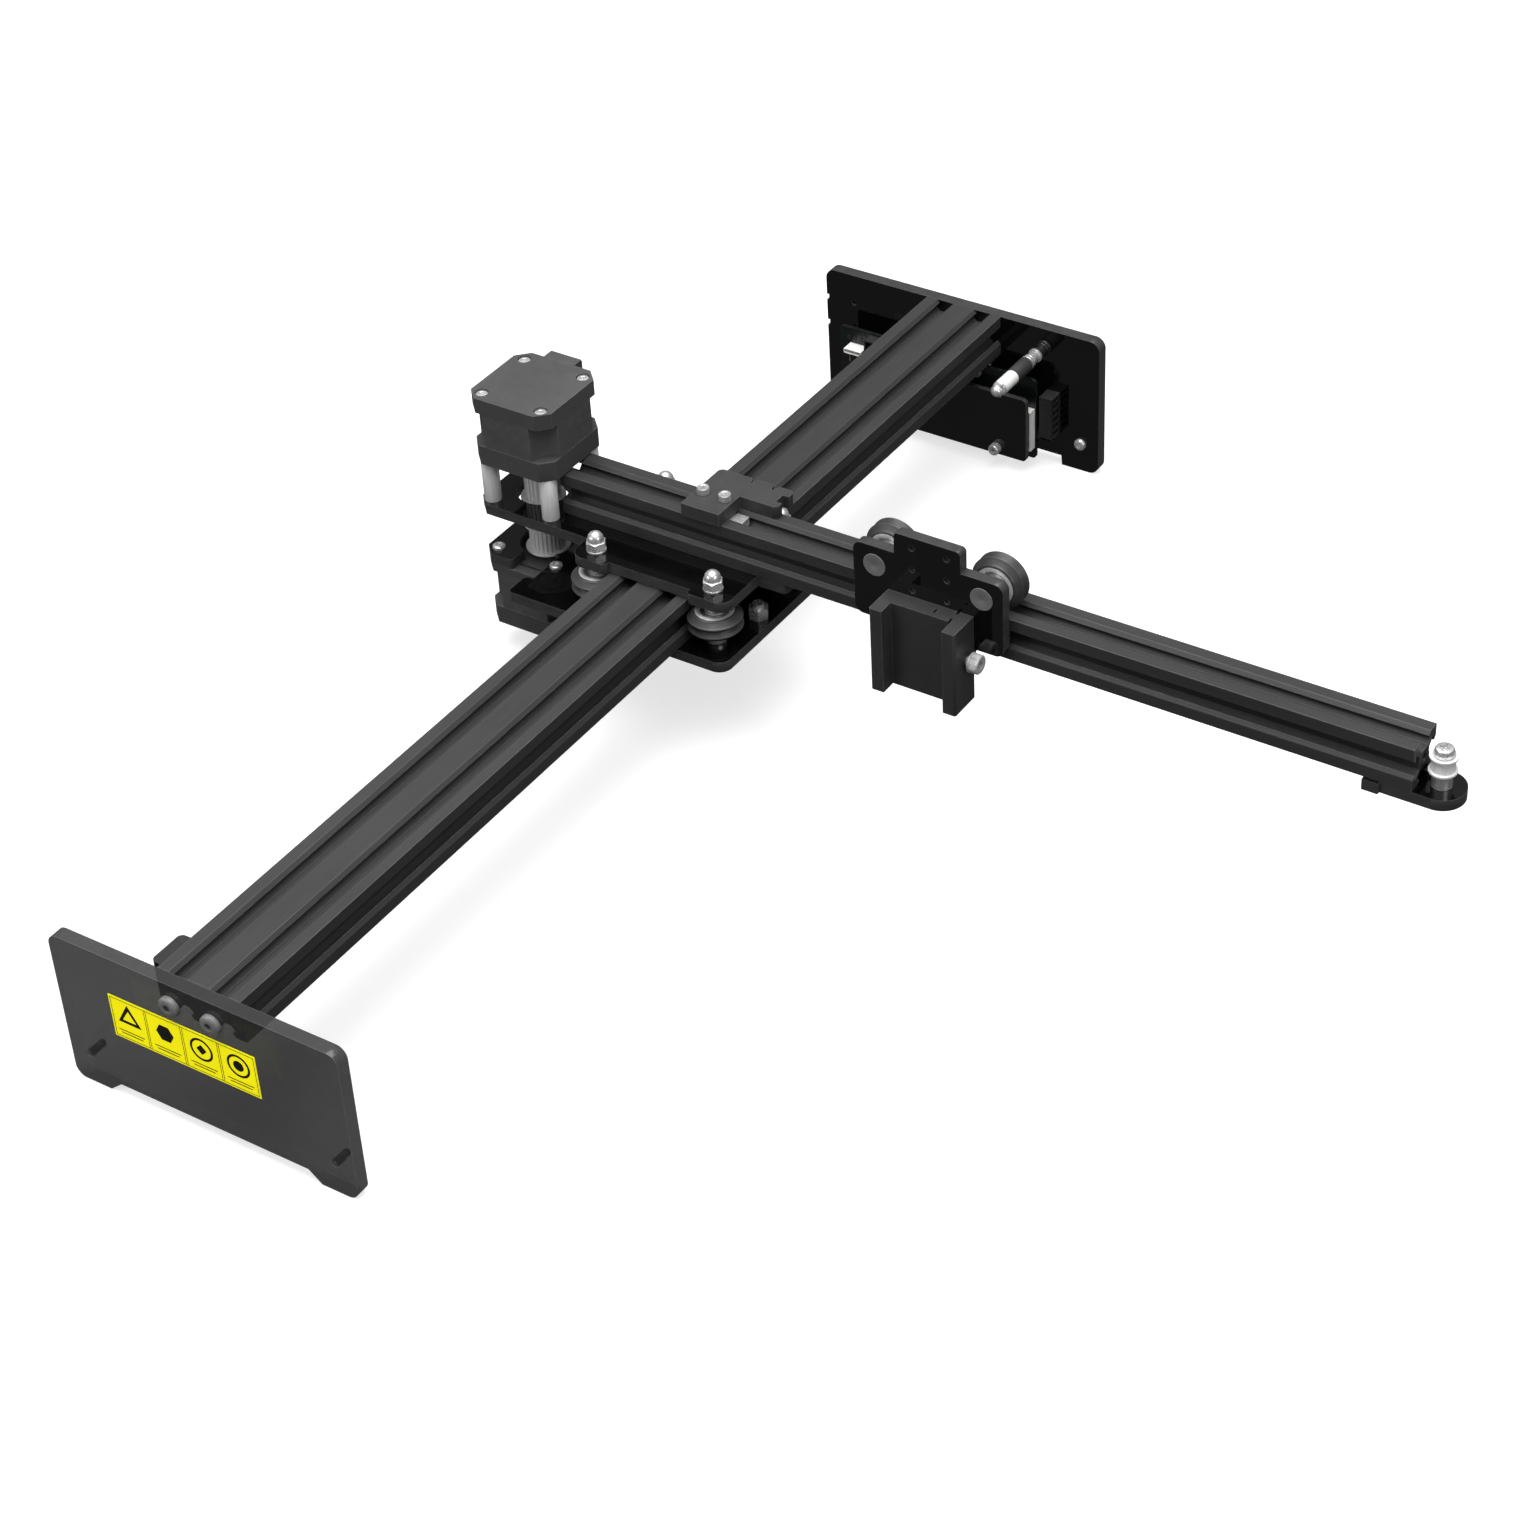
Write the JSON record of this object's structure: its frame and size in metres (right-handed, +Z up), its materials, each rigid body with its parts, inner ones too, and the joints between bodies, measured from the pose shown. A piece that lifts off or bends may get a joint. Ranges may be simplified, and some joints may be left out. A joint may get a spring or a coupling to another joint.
{
  "type": "desktop laser cutter",
  "caption": "Open desktop laser engraver frame: a V-slot rail on two end plates, a motor-driven rolling carriage and a cantilever arm with a laser carriage.",
  "frame": {"origin": "middle of the bounding box, on the surface the feet stand on", "axes": "+X along the arm from the motors to the tip, +Y along the rail from the front plate to the rear plate, +Z up"},
  "size_m": [0.4544, 0.5724, 0.1309],
  "materials": {
    "anodised_black": "matte black anodised V-slot extrusion",
    "smoked_acrylic": "smoked translucent acrylic, polished faces",
    "black_gloss": "glossy black machined plate",
    "zinc_steel": "bright zinc-plated screws and nuts",
    "label_yellow": "yellow printed film",
    "board_green": "black solder-masked circuit board",
    "cover_dark": "dark cover plate",
    "nylon_white": "white nylon",
    "moulded_black": "black moulded plastic",
    "rubber_black": "dark grey rubber sleeve",
    "satin_aluminium": "satin aluminium standoffs",
    "wheel_black": "black acetal wheel",
    "bearing_steel": "polished ball bearing",
    "motor_cap": "matte dark grey painted cast cap",
    "motor_stack": "dark laminated steel stack",
    "pulley_metal": "machined aluminium belt pulley",
    "bracket_grey": "matte dark grey bracket",
    "holder_grey": "matte dark grey anodised block"
  },
  "bodies": {
    "frame": {"rail": "anodised_black", "front_plate": "smoked_acrylic", "rear_plate": "black_gloss", "rail_end_screws": "zinc_steel", "corner_bolts": "zinc_steel", "front_label": "label_yellow", "belt_anchor": "moulded_black", "control_board": "board_green", "board_cover": "cover_dark", "board_standoffs": "satin_aluminium", "board_screws": "zinc_steel", "board_sockets": "nylon_white", "board_headers": "moulded_black", "stop_post": "zinc_steel", "stop_buffer": "rubber_black", "stop_spacer": "nylon_white"},
    "long_carriage": {"upper_plate": "black_gloss", "lower_plate": "black_gloss", "eccentric_nut": "zinc_steel", "axle_bolts": "zinc_steel", "axle_spacers": "zinc_steel", "axle_acorn_nuts": "zinc_steel", "arm_motor_lower_cap": "motor_cap", "arm_motor_upper_cap": "motor_cap", "arm_motor_stack": "motor_stack", "rail_motor_lower_cap": "motor_cap", "rail_motor_upper_cap": "motor_cap", "rail_motor_stack": "motor_stack", "motor_screws": "zinc_steel", "motor_standoffs": "satin_aluminium", "arm_motor_connector": "moulded_black", "arm": "anodised_black", "arm_bracket": "bracket_grey", "arm_bracket_screws": "zinc_steel", "slot_nut": "zinc_steel", "tip_plate": "black_gloss", "idler_axle": "zinc_steel"},
    "laser_carriage": {"laser_plate": "black_gloss", "laser_axle_bolts": "zinc_steel", "laser_axle_spacers": "zinc_steel", "laser_axle_nuts": "zinc_steel", "laser_holder": "holder_grey"},
    "clamp_screw": {"clamp_screw": "zinc_steel"},
    "rail_pulley": {"rail_pulley": "pulley_metal"},
    "arm_pulley": {"arm_pulley": "pulley_metal"},
    "tip_idler": {"tip_idler": "pulley_metal"},
    "roller_front_left": {"wheel_front_left": "wheel_black", "bearing_front_left": "bearing_steel"},
    "roller_front_right": {"wheel_front_right": "wheel_black", "bearing_front_right": "bearing_steel"},
    "roller_rear_left": {"wheel_rear_left": "wheel_black", "bearing_rear_left": "bearing_steel"},
    "roller_rear_right": {"wheel_rear_right": "wheel_black", "bearing_rear_right": "bearing_steel"},
    "roller_upper_left": {"wheel_upper_left": "wheel_black", "bearing_upper_left": "bearing_steel"},
    "roller_upper_right": {"wheel_upper_right": "wheel_black", "bearing_upper_right": "bearing_steel"},
    "roller_lower": {"wheel_lower": "wheel_black", "bearing_lower": "bearing_steel"}
  },
  "joints": [
    {"name": "long_slide", "type": "slide", "parent": "frame", "child": "long_carriage", "axis": [0, 1, 0], "range_m": [-0.2655, 0.1545]},
    {"name": "laser_slide", "type": "slide", "parent": "long_carriage", "child": "laser_carriage", "axis": [1, 0, 0], "range_m": [-0.0475, 0.174]},
    {"name": "clamp_screw_turn", "type": "hinge", "parent": "laser_carriage", "child": "clamp_screw", "pos_m": [0.0202, 0.0264, 0.0784], "axis": [1, 0, 0], "range_deg": [-720, 0]},
    {"name": "roller_front_left_spin", "type": "hinge", "parent": "long_carriage", "child": "roller_front_left", "pos_m": [-0.15895, 0.02045, 0.0615], "axis": [0, 0, 1], "range_deg": [-890, 1490]},
    {"name": "roller_front_right_spin", "type": "hinge", "parent": "long_carriage", "child": "roller_front_right", "pos_m": [-0.09925, 0.02045, 0.0615], "axis": [0, 0, 1], "range_deg": [-1490, 890]},
    {"name": "roller_rear_left_spin", "type": "hinge", "parent": "long_carriage", "child": "roller_rear_left", "pos_m": [-0.15895, 0.07335, 0.0615], "axis": [0, 0, 1], "range_deg": [-890, 1490]},
    {"name": "roller_rear_right_spin", "type": "hinge", "parent": "long_carriage", "child": "roller_rear_right", "pos_m": [-0.09925, 0.07335, 0.0615], "axis": [0, 0, 1], "range_deg": [-1490, 890]},
    {"name": "roller_upper_left_spin", "type": "hinge", "parent": "laser_carriage", "child": "roller_upper_left", "pos_m": [-0.0261, 0.0469, 0.10685], "axis": [0, 1, 0], "range_deg": [-310, 995]},
    {"name": "roller_upper_right_spin", "type": "hinge", "parent": "laser_carriage", "child": "roller_upper_right", "pos_m": [0.0239, 0.0469, 0.10685], "axis": [0, 1, 0], "range_deg": [-310, 995]},
    {"name": "roller_lower_spin", "type": "hinge", "parent": "laser_carriage", "child": "roller_lower", "pos_m": [-0.0011, 0.0469, 0.06715], "axis": [0, 1, 0], "range_deg": [-995, 310]},
    {"name": "rail_pulley_spin", "type": "hinge", "parent": "long_carriage", "child": "rail_pulley", "pos_m": [-0.2061, 0.0469, 0.051], "axis": [0, 0, 1], "range_deg": [-1955, 1160]},
    {"name": "arm_pulley_spin", "type": "hinge", "parent": "long_carriage", "child": "arm_pulley", "pos_m": [-0.2061, 0.0469, 0.077], "axis": [0, 0, 1], "range_deg": [-395, 1300]},
    {"name": "tip_idler_spin", "type": "hinge", "parent": "long_carriage", "child": "tip_idler", "pos_m": [0.2172, 0.0469, 0.077], "axis": [0, 0, 1], "range_deg": [-545, 1865]}
  ],
  "couplings": [
    {"joint": "roller_front_left_spin", "follows": "long_slide", "rad_per_m": -94.34},
    {"joint": "roller_front_right_spin", "follows": "long_slide", "rad_per_m": 94.34},
    {"joint": "roller_rear_left_spin", "follows": "long_slide", "rad_per_m": -94.34},
    {"joint": "roller_rear_right_spin", "follows": "long_slide", "rad_per_m": 94.34},
    {"joint": "roller_upper_left_spin", "follows": "laser_slide", "rad_per_m": 94.34},
    {"joint": "roller_upper_right_spin", "follows": "laser_slide", "rad_per_m": 94.34},
    {"joint": "roller_lower_spin", "follows": "laser_slide", "rad_per_m": -94.34},
    {"joint": "rail_pulley_spin", "follows": "long_slide", "rad_per_m": 125},
    {"joint": "arm_pulley_spin", "follows": "laser_slide", "rad_per_m": 125},
    {"joint": "tip_idler_spin", "follows": "laser_slide", "rad_per_m": 181.82}
  ]
}
